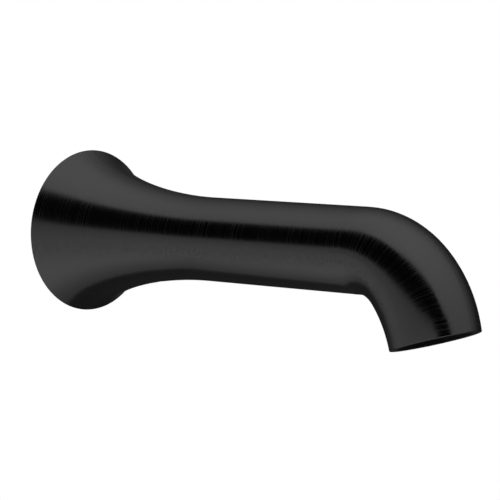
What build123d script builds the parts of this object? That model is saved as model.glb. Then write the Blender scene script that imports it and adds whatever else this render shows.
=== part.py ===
from build123d import *
import os
from math import acos, cos, degrees, radians, sin, sqrt

# Wall-mounted bath spout, slipped over a threaded connector and locked by a grub screw from below.
# Millimetres. X runs out of the wall along the tube, Z is up, and the finished wall is the plane X = 0.

# Body, outside
flange_d = 64.2            # rim that meets the wall, to its sharp corner
tube_d = 32.0
flare_length = 68.0        # wall to where the flare has become the tube
flare_angle = 39.5         # flare's surface to the axis, at the wall
flare_rim_pull = 15.0      # how far the flare keeps its direction at the rim
flare_tube_pull = 27.0     # and at the tube
bend_start = 146.5         # wall to the end of the straight tube
crown_radius = 49.5        # nose, upper edge: one arc from the tube to the mouth
throat_radius = 11.5       # nose, lower edge: a tight corner
throat_turn = 56.5
underside_radius = 52.5    # that runs on as a long arc to the mouth
nose_drop = 25.5           # axis down to the mouth's front edge
mouth_tilt = 16.5          # mouth's plane out of level, front edge high
mouth_spread = 0.6         # width that the nose gains from the tube to the mouth
rim_bevel = 0.2            # broken edge at the wall
lip_bevel = 0.2            # broken edges of the mouth

# Body, inside
tube_wall = 3.0            # tube and nose
flare_wall = 4.5
socket_start = 30.0        # wall to the shoulder where the connector's socket begins
socket_lead = 1.2          # lead-in that opens the socket for the rings
rim_land = 3.0             # bare rim outside the wall seal

# Connector: female thread G 1/2 at the wall, spigot with rings in the socket
thread_d = 20.955
thread_depth = 14.0
hex_across = 27.0
hex_length = 8.0
bore_d = 15.0
socket_clearance = 0.15    # spigot to socket, on the radius
spigot_margin = 5.0        # last ring to the spigot's end
spigot_lead = 1.5

# Seals
ring_section = 2.4
ring_squeeze = 0.15        # share of the section that the fit takes up
ring_bevel = 0.6           # corners of the squeezed section
ring_inset = 8.0           # grub screw to the first ring
ring_pitch = 6.0
ring_count = 2
groove_play = 0.6          # room beside a ring in its groove
seal_width = 4.0
seal_thickness = 2.0

# Grub screw
screw_d = 6.0
screw_inset = 9.0          # socket's shoulder to the screw
screw_sink = 0.8           # screw's end below the body's surface
screw_point = 1.0          # bevel at its inner end
screw_clearance = 0.05     # on the radius, in its hole and in the lock groove
key_across = 3.0
key_depth = 2.5
lock_depth = 1.0           # lock groove round the spigot

# Sections of the nose
nose_steps = 14
run_in = 4.0               # end of the straight tube, drawn together with the nose

flange_r = flange_d / 2
tube_r = tube_d / 2
socket_r = tube_r - tube_wall
spigot_r = socket_r - socket_clearance
straight_end = bend_start - run_in
screw_x = socket_start + screw_inset
lock_r = spigot_r - lock_depth
ring_places = [screw_x + ring_inset + ring_pitch * i for i in range(ring_count)]
ring_height = ring_section * (1 - ring_squeeze)
ring_width = ring_section * (1 + ring_squeeze / 2)
groove_r = socket_r - ring_height
spigot_end = ring_places[-1] + spigot_margin
seal_outer_r = flange_r - rim_land


def turned(outline):
    """Solid of revolution about the tube's axis, from a closed outline of distance and radius."""
    return revolve(Plane.XZ * make_face(outline), Axis.X)


def collar(start, end, inner_r, outer_r):
    """Ring of rectangular section about the tube's axis."""
    return turned(Polyline((start, inner_r), (end, inner_r), (end, outer_r), (start, outer_r), close=True))


def plug(start, end, radius):
    """Cylinder on the tube's axis."""
    return collar(start, end, 0, radius)


def cone(start, end, start_r, end_r):
    """Truncated cone on the tube's axis."""
    return turned(Polyline((start, 0), (end, 0), (end, end_r), (start, start_r), close=True))


def flare_curve(inset):
    """Profile of the flare from the wall to the tube, or a curve that lies inside it by the inset."""
    slope = radians(flare_angle)
    rim = Vector(0, flange_r - inset / cos(slope))
    tube = Vector(flare_length, tube_r - inset)
    rim_handle = rim + Vector(cos(slope), -sin(slope)) * flare_rim_pull
    tube_handle = tube - Vector(flare_tube_pull, 0)
    return Bezier(rim, rim_handle, tube_handle, tube)


def surface_radius(x):
    """Outside radius of flare and tube at a distance from the wall."""
    if x >= flare_length:
        return tube_r
    upright = Axis((x, 0, 0), (0, 1, 0))
    return flare_curve(0).find_intersection_points(upright)[0].Y


def flare_and_tube(inset):
    """Everything inside the flare and the straight tube, less the inset."""
    curve = flare_curve(inset)
    rim, tube = curve @ 0, curve @ 1
    rest = Polyline(tube, (straight_end, tube.Y), (straight_end, 0), (0, 0), rim)
    return turned([curve, rest])


def nose_edges(inset):
    """Upper and lower edge of the nose in its side view, as far as the mouth's plane."""
    tilt = radians(mouth_tilt)
    turn = radians(throat_turn)
    mouth_normal = Vector(sin(tilt), -cos(tilt))
    crown_centre = Vector(bend_start, tube_r - crown_radius)
    throat_centre = Vector(bend_start, -tube_r - throat_radius)
    underside_centre = throat_centre + Vector(sin(turn), cos(turn)) * (throat_radius - underside_radius)
    front_turn = acos((-nose_drop - crown_centre.Y) / crown_radius)
    front = crown_centre + Vector(sin(front_turn), cos(front_turn)) * crown_radius

    def turn_at_mouth(centre, radius):
        return degrees(acos((centre - front).dot(mouth_normal) / radius)) - mouth_tilt

    crown_r = crown_radius - inset
    throat_r = throat_radius + inset
    underside_r = underside_radius + inset
    underside_turn = turn_at_mouth(underside_centre, underside_r) - throat_turn
    upper = CenterArc(crown_centre, crown_r, 90, -turn_at_mouth(crown_centre, crown_r))
    throat = CenterArc(throat_centre, throat_r, 90, -throat_turn)
    underside = CenterArc(underside_centre, underside_r, 90 - throat_turn, -underside_turn)
    return Wire([upper]), Wire([throat, underside])


def oval(high, low, half_width):
    """Elliptical section across the tube, between two points of the side view, in four quarters."""
    middle = (high + low) / 2
    centre = Vector(middle.X, 0, middle.Y)
    up = Vector(high.X, 0, high.Y) - centre
    side = Vector(0, half_width, 0)
    radii = [up, side, -up, -side]
    quarters = []
    for start, end in zip(radii, radii[1:] + radii[:1]):
        corner = centre + start + end
        quarters.append(Bezier(centre + start, corner, centre + end, weights=[1, sqrt(0.5), 1]))
    return make_face(quarters)


def nose(inset):
    """End of the straight tube and the nose, as far as the mouth, less the inset."""
    radius = tube_r - inset
    upper, lower = nose_edges(inset)
    sections = []
    for x in (straight_end, straight_end + run_in / 2):
        sections.append(oval(Vector(x, radius), Vector(x, -radius), radius))
    for i in range(nose_steps + 1):
        share = i / nose_steps
        high = upper.position_at(share * upper.length, PositionMode.LENGTH)
        low = lower.position_at(share * lower.length, PositionMode.LENGTH)
        sections.append(oval(high, low, radius + share * mouth_spread / 2))
    return loft(sections)


def hex_prism(across, height):
    """Hexagon on the XY plane, standing up from it."""
    return extrude(RegularPolygon(across / 2, 6, major_radius=False), height)


def make_spout_body():
    """Cast in one piece: hollow flare, socket for the connector, tube, nose and slanted mouth."""
    outside = flare_and_tube(0) + nose(0)
    waterway = plug(socket_start, straight_end, socket_r) + nose(tube_wall)
    hollow = flare_and_tube(flare_wall) & plug(0, socket_start, flange_r)
    lead = cone(socket_start, socket_start + 2 * socket_lead, socket_r + socket_lead, socket_r)
    seal_seat = plug(0, seal_thickness, seal_outer_r)
    screw_hole = Pos(screw_x, 0, 0) * extrude(Circle(screw_d / 2 + screw_clearance), -flange_r)
    body = outside - waterway
    mouth = body.faces().filter_by(GeomType.PLANE).sort_by(Axis.X)[-1]
    body = chamfer(mouth.edges(), lip_bevel)
    rim = body.edges().filter_by(GeomType.CIRCLE).sort_by(Axis.X)[0]
    body = chamfer(rim, rim_bevel)
    return body - hollow - lead - seal_seat - screw_hole


def make_inlet_connector():
    """Turned from hexagon bar: thread at the wall, lock groove and ring grooves on the spigot."""
    spigot = plug(0, spigot_end - spigot_lead, spigot_r)
    spigot += cone(spigot_end - spigot_lead, spigot_end, spigot_r, spigot_r - spigot_lead)
    bevel = cone(0, hex_length, hex_across / 2 + hex_length, hex_across / 2)
    connector = Plane.YZ * hex_prism(hex_across, hex_length) & bevel
    connector += spigot
    grooves = [(x, ring_width / 2 + groove_play / 2, groove_r) for x in ring_places]
    grooves.append((screw_x, screw_d / 2 + screw_clearance, lock_r))
    for x, half_width, floor_r in grooves:
        connector -= collar(x - half_width, x + half_width, floor_r, flange_r)
    connector -= plug(0, spigot_end, bore_d / 2)
    connector -= plug(0, thread_depth, thread_d / 2)
    return connector


def make_connector_rings():
    """Rubber rings as they lie squeezed between the groove's floor and the socket."""
    section = chamfer(Rectangle(ring_width, ring_height).vertices(), ring_bevel)
    middle_r = groove_r + ring_height / 2
    rings = [revolve(Plane.XZ * Pos(x, middle_r) * section, Axis.X) for x in ring_places]
    return Compound(rings)


def make_grub_screw():
    """Hexagon-socket screw from below, its point on the floor of the lock groove."""
    length = surface_radius(screw_x) - screw_sink - lock_r
    screw = extrude(Circle(screw_d / 2), length)
    screw = chamfer(screw.edges().sort_by(Axis.Z)[-1], screw_point)
    screw -= hex_prism(key_across, key_depth)
    return Pos(screw_x, 0, -lock_r - length) * screw


def make_wall_seal():
    """Flat foam ring in the rim's seat, flush with the wall."""
    return collar(0, seal_thickness, seal_outer_r - seal_width, seal_outer_r)


os.makedirs("parts", exist_ok=True)
export_step(make_spout_body(), "parts/spout_body.step")
export_step(make_inlet_connector(), "parts/inlet_connector.step")
export_step(make_connector_rings(), "parts/connector_rings.step")
export_step(make_grub_screw(), "parts/grub_screw.step")
export_step(make_wall_seal(), "parts/wall_seal.step")
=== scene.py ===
from math import cos, pi, radians, sin

import bmesh
import bpy
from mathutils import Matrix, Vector


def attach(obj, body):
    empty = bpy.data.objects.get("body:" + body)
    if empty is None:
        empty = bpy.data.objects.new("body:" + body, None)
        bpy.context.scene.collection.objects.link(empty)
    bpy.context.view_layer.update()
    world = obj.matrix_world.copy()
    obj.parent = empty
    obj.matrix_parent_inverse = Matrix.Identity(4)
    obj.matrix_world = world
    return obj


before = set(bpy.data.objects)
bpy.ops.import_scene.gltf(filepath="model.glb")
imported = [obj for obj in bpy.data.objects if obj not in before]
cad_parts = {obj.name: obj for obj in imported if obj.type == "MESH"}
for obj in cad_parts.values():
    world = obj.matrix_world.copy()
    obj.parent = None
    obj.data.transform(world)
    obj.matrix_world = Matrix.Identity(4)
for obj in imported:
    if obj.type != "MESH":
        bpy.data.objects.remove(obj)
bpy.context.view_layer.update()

# Metres, in the part's own frame: X out of the wall along the tube, Z up, the finished wall at X = 0.

# Camera
AIM = Vector((0.0883, 0.0, -0.0030))
CAMERA_AZIMUTH = 43.768        # degrees from -Y towards +X
CAMERA_ELEVATION = 4.721
CAMERA_DISTANCE = 0.960
CAMERA_CLIP = 0.01
LENS = 183.52                  # millimetres on a 36 mm sensor

# Centre line of the tube and the nose
FLARE_LENGTH = 0.068
BEND_START = 0.1465
BEND_RADIUS = 0.0335
BEND_PIVOT_Z = -BEND_RADIUS
INSIDE_FACING = (-0.2, -0.4)   # how far a normal points outwards: from here to there it is an inner wall's

# Black coat
COAT_TONE = 0.0665
COAT_EDGE_TINT = 0.71          # tint of what it mirrors at its edges
COAT_ROUGHNESS = 0.155
COAT_REACH_IN = 0.172          # along the centre line: coated inside from here to the mouth
COAT_FADE = 0.006              # to either side of that place
RIM_OVERSPRAY = 0.004          # coat that went round the rim, into the flare
INSIDE_TONE = 0.006
INSIDE_SHINE = 0.1             # of the coat on the inner walls

# Brush lines under the coat: a comb round the tube and a finer one
LINE_PITCH = 0.0014
FINE_LINE_PITCH = 0.00085
LINE_WANDER = 12.0             # how unevenly they follow each other, radians
LINE_RISE = -0.3               # height of the comb's wave from which a line rises
LINE_CLOUDS = 10.0             # clouds that make the lines uneven: to a metre round the tube
CLOUD_STRETCH = 40.0           # and so many times as many along it
FINE_CLOUD_STRETCH = 65.0
PATCH_STRETCH = 0.7            # patches of strong and faint lines, to the clouds above
PATCH_NOISE = (0.3, 0.65)
FAINTEST_LINE = 0.35
COMB_SHARE = 0.6               # of each comb in the marks
MOUTH_LINES = 0.7              # fainter towards the mouth, to those on the tube
UNDERSIDE_LINES = 0.3          # and underneath
UNDERSIDE_TOP = -0.003         # above the centre line: fully brushed from here up
UNDERSIDE_BOTTOM = -0.012
FLARE_CROWDING = 6.6           # to a metre: lines nearer to each other towards the rim
LINE_ROUGHNESS = 0.16          # what the lines add to the coat's
LINE_DULLNESS = 0.03
LINE_TINT = 0.01
LINE_RELIEF = 0.01             # to the relief of the cast walls inside

# Grain of cast, moulded and stained surfaces
NOISE_RANGE = (0.3, 0.7)       # where nearly all of a noise lies
SPECK_FINENESS = 9.0           # specks to a cloud

# Bare cast brass, deep inside the body
CAST_CLOUD = 0.004
CAST_DARK = (0.30, 0.20, 0.09, 1.0)
CAST_LIGHT = (0.55, 0.41, 0.21, 1.0)
CAST_ROUGHNESS = (0.45, 0.65)
CAST_RELIEF = (0.5, 0.0002)    # strength and height

# Turned brass of the connector
TURNING_PITCH = 0.00025
TURNED_DARK = (0.66, 0.47, 0.23, 1.0)
TURNED_LIGHT = (0.78, 0.59, 0.33, 1.0)
TURNED_ROUGHNESS = (0.22, 0.40)
TURNED_RELIEF = (0.4, 0.00003)
STAIN_CLOUD = 0.006
STAIN_NOISE = (0.45, 0.75)
STAIN_COVER = 0.6
STAIN_COLOUR = (0.50, 0.33, 0.15, 1.0)

# Rubber rings
RUBBER_CLOUD = 0.002
RUBBER_TONE = 0.012
RUBBER_BLOOM_TONE = 0.04
RUBBER_ROUGHNESS = (0.5, 0.7)
RUBBER_RELIEF = (0.3, 0.00003)

# Steel of the grub screw
STEEL_CLOUD = 0.0015
STEEL_PATCH_NOISE = (0.35, 0.65)
STEEL_OILED = (0.20, 0.19, 0.18, 1.0)
STEEL_BARE = (0.48, 0.47, 0.46, 1.0)
STEEL_ROUGHNESS = (0.42, 0.25)
STEEL_RELIEF = (0.3, 0.00002)

# Foam of the wall seal
FOAM_CLOUD = 0.003
FOAM_CELLS = 1600.0            # to a metre
FOAM_CELL_WALL = (0.2, 0.7)    # from a cell's middle to its wall
# painted shade in the foam's pores: each cell's middle darker than its wall
FOAM_PORE_SHADE_TONE = 0.05
FOAM_COLOUR = (0.17, 0.17, 0.18, 1.0)
FOAM_FADING = (0.6, 1.0)
FOAM_ROUGHNESS = (0.8, 0.95)
FOAM_RELIEF = (0.7, 0.0002)

# Inlet thread G 1/2 in the connector
THREAD_MAJOR_R = 0.0104775
THREAD_MINOR_R = 0.009316
THREAD_PITCH = 0.0018143
THREAD_DEPTH = 0.014
THREAD_SINK = 0.00003          # root of the ridge inside the bore's wall
THREAD_SEGMENTS = 72           # to a turn
THREAD_RUN_OUT = 0.4           # turns over which the ridge rises and ends
THREAD_LOWEST = 0.06           # share of its height at both ends
THREAD_PROFILE = [(-0.47, 0.0), (-0.13, 0.9), (0.0, 1.0), (0.13, 0.9), (0.47, 0.0)]  # in pitches and heights

# Studio
DISC_SEGMENTS = 64
FLOOR_Z = -0.2
FLOOR_RADIUS = 0.55
FLOOR_FADE = 0.10              # radius from which the floor fades into the white
FLOOR_TONE = 0.86
FLOOR_MOTTLE = 0.01            # lighter and darker than its tone
FLOOR_CLOUDS = 60.0            # to a metre
ROOM_LEVEL = 0.45              # white room, as it lights matt surfaces
LAMP_SIZE = 1.2
LAMP_PLACE = Vector((0.1, -0.25, 1.2))
LAMP_POWER = 13.5

# The room as shiny surfaces mirror it: bright on one side, duller at the skyline, dark behind the spout
BRIGHT_AZIMUTH = -60.1         # degrees from +X towards +Y
BRIGHT_ELEVATION = 17.2
BRIGHT_REACH = 90.2            # degrees from the middle of the bright side
DARK_REACH = 149.4
DARK_TONE = 0.072
SKYLINE_TONE = 0.661
SKYLINE_LOW = 0.3              # elevation, degrees
SKYLINE_HIGH = 83.5

# Painted shade on the floor behind the spout, seen only in reflections: a faintly glowing dark patch, with a
# painted shadow before its edge
PAINTED_SHADE_EDGE = (0.0747, 0.451, 0.008)    # Y at the middle of the floor, slope along X, softness
PAINTED_SHADE_SIDE = (-0.146, -0.26, 0.008)    # the same for its edge on the wall's side
# painted shade: how dark the patch glows at its edge, and far behind it
PAINTED_SHADE_TONE = 0.099
PAINTED_SHADE_FAR_TONE = 0.02
PAINTED_SHADE_FAR = 0.4                # behind the edge
PAINTED_SHADOW = 0.49            # painted shadow that lies on the floor before the edge
PAINTED_SHADOW_REACH = 0.169
PAINTED_SHADE_FADE = 0.33
PAINTED_SHADE_RADIUS = 1.1
PAINTED_SHADE_LIFT = 0.001

# Black flag before the spout
FLAG_Y = -1.5
FLAG_X = (-14.0, 20.0)
FLAG_Z = (-1.6, 4.2)
FLAG_BOTTOM = (0.319, 0.083, 0.081)    # Z at X = 0, slope along X, softness
FLAG_DROP = (0.886, -0.406, 0.081)     # lower edge at the right-hand end
FLAG_TOP = (2.043, -0.1045, 0.307)
VEIL_COVER = 0.35                      # thin veil below the flag
VEIL_REACH = 0.70


def new_group(name, inputs, outputs):
    """Shader node group with named sockets for numbers."""
    group = bpy.data.node_groups.new(name, "ShaderNodeTree")
    for side, names in (("INPUT", inputs), ("OUTPUT", outputs)):
        for socket_name in names:
            group.interface.new_socket(socket_name, in_out=side, socket_type="NodeSocketFloat")
    return group, group.nodes.new("NodeGroupInput").outputs, group.nodes.new("NodeGroupOutput").inputs


def feed(tree, socket, value):
    """Socket set to a number, a vector or a colour, or linked to another socket."""
    if isinstance(value, bpy.types.NodeSocket):
        tree.links.new(value, socket)
    else:
        socket.default_value = value


def calc(tree, operation, *values):
    """Result of an operation on numbers."""
    node = tree.nodes.new("ShaderNodeMath")
    node.operation = operation
    for socket, value in zip(node.inputs, values):
        feed(tree, socket, value)
    return node.outputs[0]


def times(tree, a, b):
    return calc(tree, "MULTIPLY", a, b)


def minus(tree, a, b):
    return calc(tree, "SUBTRACT", a, b)


def length(tree, a, b):
    """Long side of a right triangle."""
    return calc(tree, "SQRT", calc(tree, "ADD", times(tree, a, a), times(tree, b, b)))


def vector_calc(tree, operation, *values):
    """Result of an operation on vectors: a number for DOT_PRODUCT and LENGTH, a vector for NORMALIZE."""
    node = tree.nodes.new("ShaderNodeVectorMath")
    node.operation = operation
    for socket, value in zip(node.inputs, values):
        feed(tree, socket, value)
    return node.outputs["Vector" if operation == "NORMALIZE" else "Value"]


def combine(tree, x, y, z):
    node = tree.nodes.new("ShaderNodeCombineXYZ")
    for socket, value in zip(node.inputs, (x, y, z)):
        feed(tree, socket, value)
    return node.outputs[0]


def separate(tree, vector):
    node = tree.nodes.new("ShaderNodeSeparateXYZ")
    feed(tree, node.inputs[0], vector)
    return node.outputs


def noise(tree, place, scale, detail, roughness=0.5):
    """Noise about 0.5 at a place."""
    node = tree.nodes.new("ShaderNodeTexNoise")
    for name, value in (("Vector", place), ("Scale", scale), ("Detail", detail), ("Roughness", roughness)):
        feed(tree, node.inputs[name], value)
    return node.outputs["Fac"]


def spread(tree, value, low, high, to_low=0.0, to_high=1.0, soft=False):
    """Value taken from one range to another, held at the ends."""
    node = tree.nodes.new("ShaderNodeMapRange")
    node.interpolation_type = "SMOOTHSTEP" if soft else "LINEAR"
    names = ("Value", "From Min", "From Max", "To Min", "To Max")
    for name, item in zip(names, (value, low, high, to_low, to_high)):
        feed(tree, node.inputs[name], item)
    return node.outputs["Result"]


def spread_noise(tree, value, to_range):
    """Noise taken to a range."""
    return spread(tree, value, *NOISE_RANGE, *to_range)


def mix(tree, kind, share, a, b):
    """Two numbers or two colours mixed, by the kind of their sockets."""
    node = tree.nodes.new("ShaderNodeMix")
    node.data_type = "RGBA" if kind == "Color" else "FLOAT"
    inputs = {socket.identifier: socket for socket in node.inputs}
    for name, value in (("Factor_Float", share), ("A_" + kind, a), ("B_" + kind, b)):
        feed(tree, inputs[name], value)
    return next(socket for socket in node.outputs if socket.identifier == "Result_" + kind)


def mix_colour(tree, share, a, b):
    return mix(tree, "Color", share, a, b)


def mix_value(tree, share, a, b):
    return mix(tree, "Float", share, a, b)


def bump(tree, height, strength, distance):
    """Normal of a surface with a fine relief."""
    node = tree.nodes.new("ShaderNodeBump")
    for name, value in (("Strength", strength), ("Distance", distance), ("Height", height)):
        feed(tree, node.inputs[name], value)
    return node.outputs["Normal"]


def place_group(tree, group, **values):
    node = tree.nodes.new("ShaderNodeGroup")
    node.node_tree = group
    for name, value in values.items():
        feed(tree, node.inputs[name], value)
    return node.outputs


def object_place(tree):
    return tree.nodes.new("ShaderNodeTexCoord").outputs["Object"]


def grey(tone):
    return (tone, tone, tone, 1.0)


def make_tube_run():
    """Where a point lies: Along the centre line, beside and above it, and on an inner wall or not."""
    group, _, out = new_group("tube_run", [], ["Along", "Side", "Lift", "Inside"])
    x, y, z = separate(group, object_place(group))
    ahead = calc(group, "MAXIMUM", minus(group, x, BEND_START), 0.0)
    above = minus(group, z, BEND_PIVOT_Z)
    reach = length(group, ahead, above)
    lift = minus(group, reach, BEND_RADIUS)
    arc = times(group, calc(group, "ARCTAN2", ahead, above), BEND_RADIUS)
    along = calc(group, "ADD", calc(group, "MINIMUM", x, BEND_START), arc)
    outward = calc(group, "DIVIDE", lift, reach)
    radial = combine(group, times(group, ahead, outward), y, times(group, above, outward))
    normal = group.nodes.new("ShaderNodeNewGeometry").outputs["Normal"]
    facing = vector_calc(group, "DOT_PRODUCT", vector_calc(group, "NORMALIZE", radial), normal)
    inside = spread(group, facing, *INSIDE_FACING)
    for name, value in (("Along", along), ("Side", y), ("Lift", lift), ("Inside", inside)):
        feed(group, out[name], value)
    return group


def make_brush_marks(tube_run):
    """Hairlines that a brush left round the tube, from 0 to 1: a comb and a finer one, both uneven."""
    group, _, out = new_group("brush_marks", [], ["Lines"])
    run = place_group(group, tube_run)
    flare = calc(group, "MAXIMUM", minus(group, FLARE_LENGTH, run["Along"]), 0.0)
    along = minus(group, run["Along"], times(group, times(group, flare, flare), FLARE_CROWDING))

    def drawn_round(stretch):
        """Noise whose clouds are drawn out round the tube."""
        place = combine(group, times(group, along, stretch), run["Side"], run["Lift"])
        return noise(group, place, LINE_CLOUDS, detail=1.0)

    def comb(pitch, stretch):
        """Lines at an uneven pitch, in patches of uneven strength."""
        wander = times(group, drawn_round(stretch), LINE_WANDER)
        phase = calc(group, "MULTIPLY_ADD", along, 2 * pi / pitch, wander)
        line = spread(group, calc(group, "SINE", phase), LINE_RISE, 1.0)
        strength = spread(group, drawn_round(PATCH_STRETCH * stretch), *PATCH_NOISE, FAINTEST_LINE, 1.0)
        return times(group, line, strength)

    both = calc(group, "ADD", comb(LINE_PITCH, CLOUD_STRETCH), comb(FINE_LINE_PITCH, FINE_CLOUD_STRETCH))
    mouth_share = COMB_SHARE * MOUTH_LINES
    share = spread(group, run["Along"], BEND_START, BEND_START + BEND_RADIUS, COMB_SHARE, mouth_share)
    upper = spread(group, run["Lift"], UNDERSIDE_BOTTOM, UNDERSIDE_TOP, UNDERSIDE_LINES, 1.0, soft=True)
    feed(group, out["Lines"], times(group, both, times(group, share, upper)))
    return group


def make_grain():
    """Grain of a cast, moulded or stained surface, about 0.5: Cloud of a given Size, and fine Speck."""
    group, given, out = new_group("grain", ["Size"], ["Cloud", "Speck"])
    place = object_place(group)
    scale = calc(group, "DIVIDE", 1.0, given["Size"])
    feed(group, out["Cloud"], noise(group, place, scale, detail=3.0))
    speck_scale = times(group, scale, SPECK_FINENESS)
    feed(group, out["Speck"], noise(group, place, speck_scale, detail=3.0, roughness=0.6))
    return group


def make_turning_marks():
    """Rings that a lathe tool left round the tube's axis, by their Pitch, about 0.5."""
    group, given, out = new_group("turning_marks", ["Pitch"], ["Rings"])
    x, y, z = separate(group, object_place(group))
    across = calc(group, "DIVIDE", x, given["Pitch"])
    outward = calc(group, "DIVIDE", length(group, y, z), given["Pitch"])
    feed(group, out["Rings"], noise(group, combine(group, across, outward, 0.0), 1.0, detail=2.0))
    return group


def bare_material(name):
    """Material with nothing in it but the surface of its output."""
    material = bpy.data.materials.new(name)
    material.use_nodes = True
    tree = material.node_tree
    tree.nodes.clear()
    return material, tree, tree.nodes.new("ShaderNodeOutputMaterial").inputs["Surface"]


def new_finish(name):
    """Material of a piece, and the sockets of its shader."""
    material, tree, surface = bare_material(name)
    shader = tree.nodes.new("ShaderNodeBsdfPrincipled")
    feed(tree, surface, shader.outputs[0])
    return material, tree, shader.inputs


def make_brushed_black(tube_run, marks, grain):
    """Thin black coat over brushed brass, with bare cast brass deep inside."""
    material, tree, shader = new_finish("brushed_black_coat")
    run = place_group(tree, tube_run)
    lines = place_group(tree, marks)["Lines"]
    cast = place_group(tree, grain, Size=CAST_CLOUD)
    coat = mix_colour(tree, lines, grey(COAT_TONE * (1 - LINE_TINT)), grey(COAT_TONE * (1 + LINE_TINT)))
    mouth_end = spread(tree, run["Along"], COAT_REACH_IN - COAT_FADE, COAT_REACH_IN + COAT_FADE)
    rim_end = spread(tree, run["Along"], RIM_OVERSPRAY, RIM_OVERSPRAY / 2)
    coated = calc(tree, "MAXIMUM", mouth_end, rim_end)
    brass = mix_colour(tree, cast["Cloud"], CAST_DARK, CAST_LIGHT)
    inner = mix_colour(tree, coated, brass, grey(INSIDE_TONE))
    feed(tree, shader["Base Color"], mix_colour(tree, run["Inside"], coat, inner))
    dull = mix_value(tree, run["Inside"], times(tree, lines, LINE_DULLNESS), coated)
    feed(tree, shader["Metallic"], minus(tree, 1.0, dull))
    shader["Specular Tint"].default_value = grey(COAT_EDGE_TINT)
    shader["Specular IOR Level"].default_value = INSIDE_SHINE
    rough = calc(tree, "MULTIPLY_ADD", lines, LINE_ROUGHNESS, COAT_ROUGHNESS)
    cast_rough = spread_noise(tree, cast["Speck"], CAST_ROUGHNESS)
    feed(tree, shader["Roughness"], mix_value(tree, run["Inside"], rough, cast_rough))
    relief = mix_value(tree, run["Inside"], times(tree, lines, LINE_RELIEF), cast["Speck"])
    feed(tree, shader["Normal"], bump(tree, relief, *CAST_RELIEF))
    return material


def make_turned_brass(turning, grain):
    """Bare brass from the lathe, a little stained."""
    material, tree, shader = new_finish("turned_brass")
    rings = place_group(tree, turning, Pitch=TURNING_PITCH)["Rings"]
    stain = place_group(tree, grain, Size=STAIN_CLOUD)["Cloud"]
    fresh = mix_colour(tree, rings, TURNED_DARK, TURNED_LIGHT)
    stained = spread(tree, stain, *STAIN_NOISE, 0.0, STAIN_COVER)
    feed(tree, shader["Base Color"], mix_colour(tree, stained, fresh, STAIN_COLOUR))
    shader["Metallic"].default_value = 1.0
    feed(tree, shader["Roughness"], spread_noise(tree, stain, TURNED_ROUGHNESS))
    feed(tree, shader["Normal"], bump(tree, rings, *TURNED_RELIEF))
    return material


def make_ring_rubber(grain):
    """Black rubber with a thin grey bloom."""
    material, tree, shader = new_finish("ring_rubber")
    skin = place_group(tree, grain, Size=RUBBER_CLOUD)
    bloom = mix_colour(tree, skin["Cloud"], grey(RUBBER_TONE), grey(RUBBER_BLOOM_TONE))
    feed(tree, shader["Base Color"], bloom)
    feed(tree, shader["Roughness"], spread_noise(tree, skin["Speck"], RUBBER_ROUGHNESS))
    feed(tree, shader["Normal"], bump(tree, skin["Speck"], *RUBBER_RELIEF))
    return material


def make_screw_steel(grain):
    """Hardened steel, grey, with darker patches from its oil bath."""
    material, tree, shader = new_finish("screw_steel")
    skin = place_group(tree, grain, Size=STEEL_CLOUD)
    patches = spread(tree, skin["Cloud"], *STEEL_PATCH_NOISE)
    feed(tree, shader["Base Color"], mix_colour(tree, patches, STEEL_OILED, STEEL_BARE))
    shader["Metallic"].default_value = 1.0
    feed(tree, shader["Roughness"], spread_noise(tree, skin["Cloud"], STEEL_ROUGHNESS))
    feed(tree, shader["Normal"], bump(tree, skin["Speck"], *STEEL_RELIEF))
    return material


def make_seal_foam(grain):
    """Dark closed-cell foam, with painted shade in the middles of its cells."""
    material, tree, shader = new_finish("seal_foam")
    skin = place_group(tree, grain, Size=FOAM_CLOUD)
    cells = tree.nodes.new("ShaderNodeTexVoronoi")
    cells.inputs["Scale"].default_value = FOAM_CELLS
    feed(tree, cells.inputs["Vector"], object_place(tree))
    wall = spread(tree, cells.outputs["Distance"], *FOAM_CELL_WALL)
    # painted shade: each cell darker in its middle, where the relief dips, than at its wall
    tone = times(tree, wall, spread_noise(tree, skin["Cloud"], FOAM_FADING))
    feed(tree, shader["Base Color"], mix_colour(tree, tone, grey(FOAM_PORE_SHADE_TONE), FOAM_COLOUR))
    feed(tree, shader["Roughness"], spread_noise(tree, skin["Speck"], FOAM_ROUGHNESS))
    feed(tree, shader["Normal"], bump(tree, wall, *FOAM_RELIEF))
    return material


def dress(node, material):
    """The node's own mesh, in another finish."""
    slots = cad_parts[node].data.materials
    slots.clear()
    slots.append(material)


def add_object(name, data):
    thing = bpy.data.objects.new(name, data)
    bpy.context.scene.collection.objects.link(thing)
    return thing


def add_mesh(name, mesh, material):
    data = bpy.data.meshes.new(name)
    mesh.to_mesh(data)
    mesh.free()
    data.materials.append(material)
    return add_object(name, data)


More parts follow.
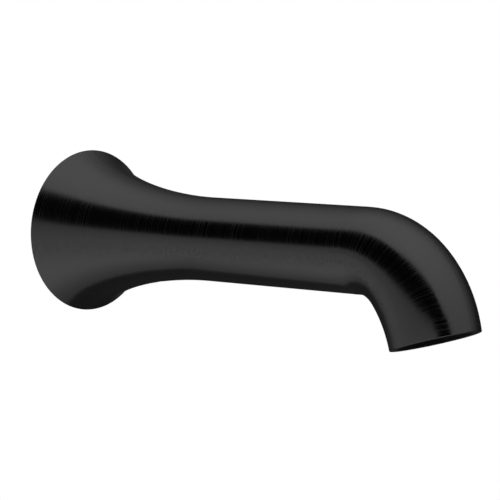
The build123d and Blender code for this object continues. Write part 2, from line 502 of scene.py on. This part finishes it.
def make_inlet_thread(material):
    """Ridge of the pipe thread in the connector's bore, as one closed helix."""
    root = THREAD_MAJOR_R + THREAD_SINK
    height = root - THREAD_MINOR_R
    turns = THREAD_DEPTH / THREAD_PITCH - 1
    mesh = bmesh.new()
    rings = []
    for i in range(round(turns * THREAD_SEGMENTS) + 1):
        turn = i / THREAD_SEGMENTS
        angle = 2 * pi * turn
        middle = THREAD_PITCH * (turn + 0.5)
        rise = max(THREAD_LOWEST, min(1.0, turn / THREAD_RUN_OUT, (turns - turn) / THREAD_RUN_OUT))
        ring = []
        for shift, level in THREAD_PROFILE:
            x = middle + shift * THREAD_PITCH
            radius = root - height * level * rise
            ring.append(mesh.verts.new((x, radius * cos(angle), radius * sin(angle))))
        rings.append(ring)
    for ring, following in zip(rings, rings[1:]):
        for k in range(len(ring)):
            mesh.faces.new((ring[k - 1], ring[k], following[k], following[k - 1]))
    mesh.faces.new(rings[0])
    mesh.faces.new(reversed(rings[-1]))
    bmesh.ops.recalc_face_normals(mesh, faces=mesh.faces)
    piece = add_mesh("inlet_thread_ridge", mesh, material)
    for polygon in piece.data.polygons:
        polygon.use_smooth = True
    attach(piece, "root")


def direction(azimuth, elevation):
    """Unit vector, from degrees."""
    turn, rise = radians(azimuth), radians(elevation)
    return Vector((cos(rise) * cos(turn), cos(rise) * sin(turn), sin(rise)))


def make_room():
    """White room, with its bright side, its skyline and its dark end in reflections."""
    world = bpy.data.worlds.new("white_room")
    bpy.context.scene.world = world
    world.use_nodes = True
    tree = world.node_tree
    background = tree.nodes["Background"]
    background.inputs["Color"].default_value = grey(1.0)
    towards = tree.nodes.new("ShaderNodeTexCoord").outputs["Generated"]
    facing = vector_calc(tree, "DOT_PRODUCT", towards, direction(BRIGHT_AZIMUTH, BRIGHT_ELEVATION))
    turned_away = calc(tree, "ARCCOSINE", facing)
    lit = spread(tree, turned_away, radians(BRIGHT_REACH), radians(DARK_REACH), 1.0, DARK_TONE, soft=True)
    rise = calc(tree, "ARCSINE", separate(tree, towards)[2])
    sky = spread(tree, rise, radians(SKYLINE_LOW), radians(SKYLINE_HIGH), SKYLINE_TONE, 1.0, soft=True)
    path = tree.nodes.new("ShaderNodeLightPath").outputs
    level = mix_value(tree, path["Is Glossy Ray"], ROOM_LEVEL, times(tree, lit, sky))
    white = calc(tree, "MAXIMUM", path["Is Camera Ray"], path["Is Transmission Ray"])
    feed(tree, background.inputs["Strength"], mix_value(tree, white, level, 1.0))


def make_lamp():
    """Large soft lamp overhead, which shiny surfaces don't mirror."""
    data = bpy.data.lights.new("soft_lamp", "AREA")
    data.shape = "DISK"
    data.size = LAMP_SIZE
    data.energy = LAMP_POWER
    lamp = add_object("soft_lamp", data)
    lamp.location = LAMP_PLACE
    lamp.rotation_euler = (LAMP_PLACE - AIM).to_track_quat("Z", "Y").to_euler()
    lamp.visible_glossy = False
    lamp.visible_camera = False


def new_stage_material(name, shader_type):
    """Material that covers what lies behind it from 0 to 1: the sockets of its shader and its cover."""
    material, tree, surface = bare_material(name)
    shader = tree.nodes.new(shader_type)
    layers = tree.nodes.new("ShaderNodeMixShader")
    feed(tree, layers.inputs[1], tree.nodes.new("ShaderNodeBsdfTransparent").outputs[0])
    feed(tree, layers.inputs[2], shader.outputs[0])
    feed(tree, surface, layers.outputs[0])
    return material, tree, shader.inputs, layers.inputs[0]


def add_disc(name, radius, material):
    mesh = bmesh.new()
    bmesh.ops.create_circle(mesh, cap_ends=True, segments=DISC_SEGMENTS, radius=radius)
    return add_mesh(name, mesh, material)


def mirrored_only(thing):
    """Only shiny surfaces see it."""
    thing.visible_camera = False
    thing.visible_diffuse = False
    thing.visible_transmission = False
    thing.visible_shadow = False


def make_floor():
    """Pale round floor that fades into the white room and keeps the spout's shadow."""
    material, tree, shader, cover = new_stage_material("pale_floor", "ShaderNodeBsdfDiffuse")
    place = object_place(tree)
    clouds = noise(tree, place, FLOOR_CLOUDS, detail=4.0)
    tone = spread_noise(tree, clouds, (FLOOR_TONE - FLOOR_MOTTLE, FLOOR_TONE + FLOOR_MOTTLE))
    feed(tree, shader["Color"], combine(tree, tone, tone, tone))
    fade = spread(tree, vector_calc(tree, "LENGTH", place), FLOOR_FADE, FLOOR_RADIUS, 1.0, 0.0, soft=True)
    above = minus(tree, 1.0, tree.nodes.new("ShaderNodeNewGeometry").outputs["Backfacing"])
    feed(tree, cover, times(tree, fade, above))
    floor = add_disc("floor", FLOOR_RADIUS, material)
    floor.location = (AIM.x, 0.0, FLOOR_Z)


def past_edge(tree, along, across, edge):
    """How far a place lies past a slanting edge, and the same as a soft mask."""
    start, slope, softness = edge
    past = minus(tree, across, calc(tree, "MULTIPLY_ADD", along, slope, start))
    return past, spread(tree, past, -softness, softness, soft=True)


def lay_over(tree, under, over):
    """Cover of two layers, one upon the other."""
    return mix_value(tree, over, under, 1.0)


def make_front_flag():
    """Long black flag before the spout, with soft edges and a thin veil below it."""
    material, tree, shader, cover = new_stage_material("front_flag", "ShaderNodeEmission")
    shader["Color"].default_value = grey(0.0)
    x, _, z = separate(tree, object_place(tree))
    past_bottom, above_bottom = past_edge(tree, x, z, FLAG_BOTTOM)
    past_drop, above_drop = past_edge(tree, x, z, FLAG_DROP)
    _, above_top = past_edge(tree, x, z, FLAG_TOP)
    nearest = calc(tree, "MAXIMUM", past_bottom, past_drop)
    veil = spread(tree, nearest, -VEIL_REACH, 0.0, 0.0, VEIL_COVER)
    black = calc(tree, "MAXIMUM", above_bottom, above_drop)
    feed(tree, cover, times(tree, lay_over(tree, veil, black), minus(tree, 1.0, above_top)))
    left, right = FLAG_X
    low, high = FLAG_Z
    mesh = bmesh.new()
    corners = [(left, low), (right, low), (right, high), (left, high)]
    mesh.faces.new([mesh.verts.new((corner_x, FLAG_Y, corner_z)) for corner_x, corner_z in corners])
    mirrored_only(add_mesh("front_flag", mesh, material))


def make_painted_floor_shade():
    """Painted shade on the floor behind the spout, which only shiny surfaces see: a faintly glowing dark
    patch, with a painted shadow before its edge.
    """
    material, tree, shader, cover = new_stage_material("painted_floor_shade", "ShaderNodeEmission")
    place = object_place(tree)
    x, y, _ = separate(tree, place)
    past_middle, behind_middle = past_edge(tree, x, y, PAINTED_SHADE_EDGE)
    past_side, behind_side = past_edge(tree, x, y, PAINTED_SHADE_SIDE)
    past = calc(tree, "MINIMUM", past_middle, past_side)
    behind = calc(tree, "MINIMUM", behind_middle, behind_side)
    # painted shade: the patch glows dark grey, darker further behind its edge
    tone = spread(tree, past, 0.0, PAINTED_SHADE_FAR, PAINTED_SHADE_TONE, PAINTED_SHADE_FAR_TONE, soft=True)
    feed(tree, shader["Color"], mix_colour(tree, times(tree, tone, behind), grey(0.0), grey(1.0)))
    # painted shadow on the floor before the edge
    shadow = spread(tree, past, -PAINTED_SHADOW_REACH, 0.0, 0.0, PAINTED_SHADOW, soft=True)
    near = spread(tree, vector_calc(tree, "LENGTH", place), PAINTED_SHADE_FADE, PAINTED_SHADE_RADIUS, 1.0, 0.0, soft=True)
    feed(tree, cover, times(tree, lay_over(tree, shadow, behind), near))
    painted_shade = add_disc("painted_floor_shade", PAINTED_SHADE_RADIUS, material)
    painted_shade.location = (AIM.x, 0.0, FLOOR_Z + PAINTED_SHADE_LIFT)
    mirrored_only(painted_shade)


def make_camera():
    """Camera at the photo's place."""
    azimuth, elevation = radians(CAMERA_AZIMUTH), radians(CAMERA_ELEVATION)
    away = Vector((sin(azimuth) * cos(elevation), -cos(azimuth) * cos(elevation), sin(elevation)))
    data = bpy.data.cameras.new("camera")
    data.lens = LENS
    data.clip_start = CAMERA_CLIP
    camera = add_object("camera", data)
    camera.location = AIM + away * CAMERA_DISTANCE
    camera.rotation_euler = away.to_track_quat("Z", "Y").to_euler()
    bpy.context.scene.camera = camera


make_camera()
make_room()
make_lamp()
make_floor()
make_front_flag()
make_painted_floor_shade()

tube_run = make_tube_run()
grain = make_grain()
turned_brass = make_turned_brass(make_turning_marks(), grain)
dress("spout_body", make_brushed_black(tube_run, make_brush_marks(tube_run), grain))
dress("inlet_connector", turned_brass)
dress("connector_rings", make_ring_rubber(grain))
dress("grub_screw", make_screw_steel(grain))
dress("wall_seal", make_seal_foam(grain))
make_inlet_thread(turned_brass)

bpy.context.scene.view_settings.view_transform = "Standard"
